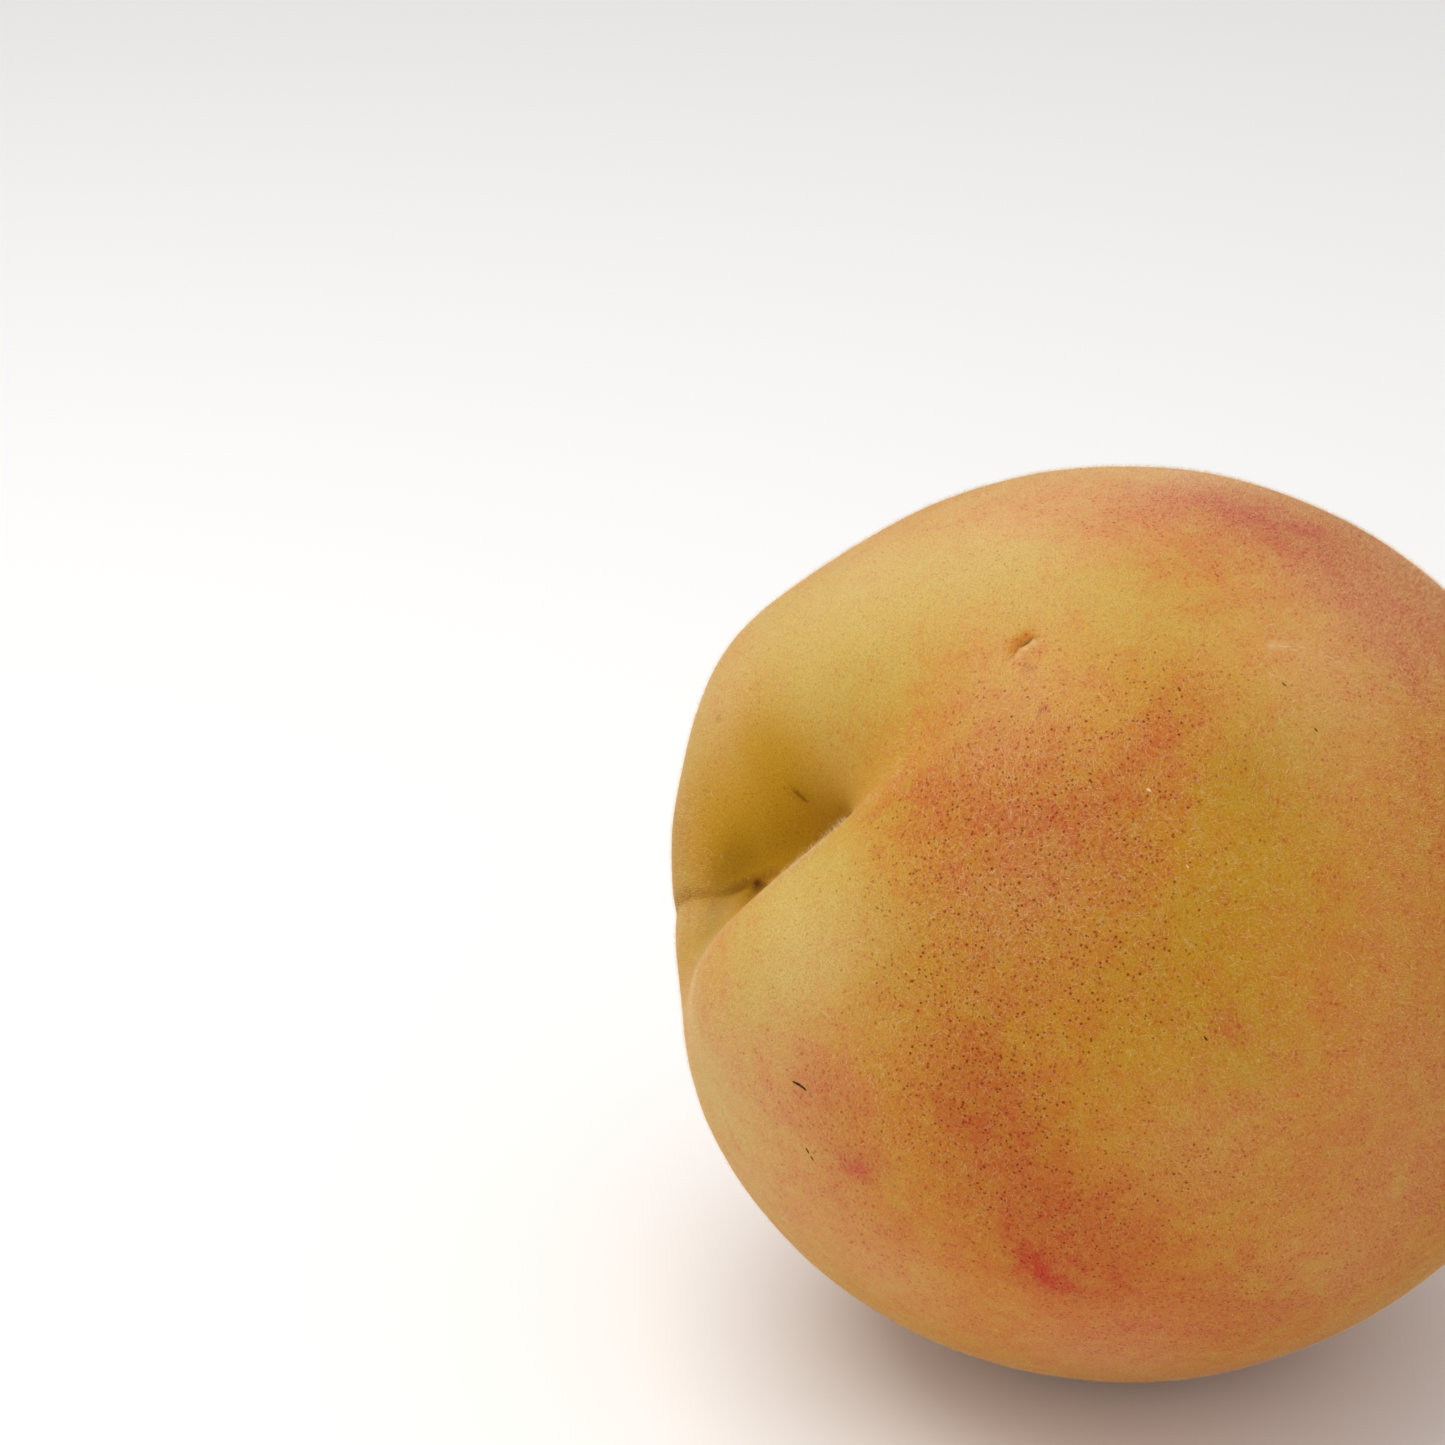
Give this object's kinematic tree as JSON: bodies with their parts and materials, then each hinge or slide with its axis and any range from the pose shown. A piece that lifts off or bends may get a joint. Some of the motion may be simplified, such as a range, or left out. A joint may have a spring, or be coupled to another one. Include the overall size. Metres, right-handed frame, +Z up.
{
  "type": "peach",
  "caption": "Ripe peach lying on its side, with a stem hollow, a shallow suture groove and a small flat rest spot.",
  "frame": {"origin": "on the flat rest spot, straight under the middle of the fruit", "axes": "+Z up from the table; the stem end points mostly along -X and a little to -Y and up; the suture faces +Y and down"},
  "size_m": [0.0772, 0.0763, 0.0755],
  "materials": {
    "skin": "soft matte skin with short pale fuzz, yellow to orange with a red blush and fine dark freckles"
  },
  "bodies": {
    "root": {"peach": "skin"}
  },
  "joints": []
}
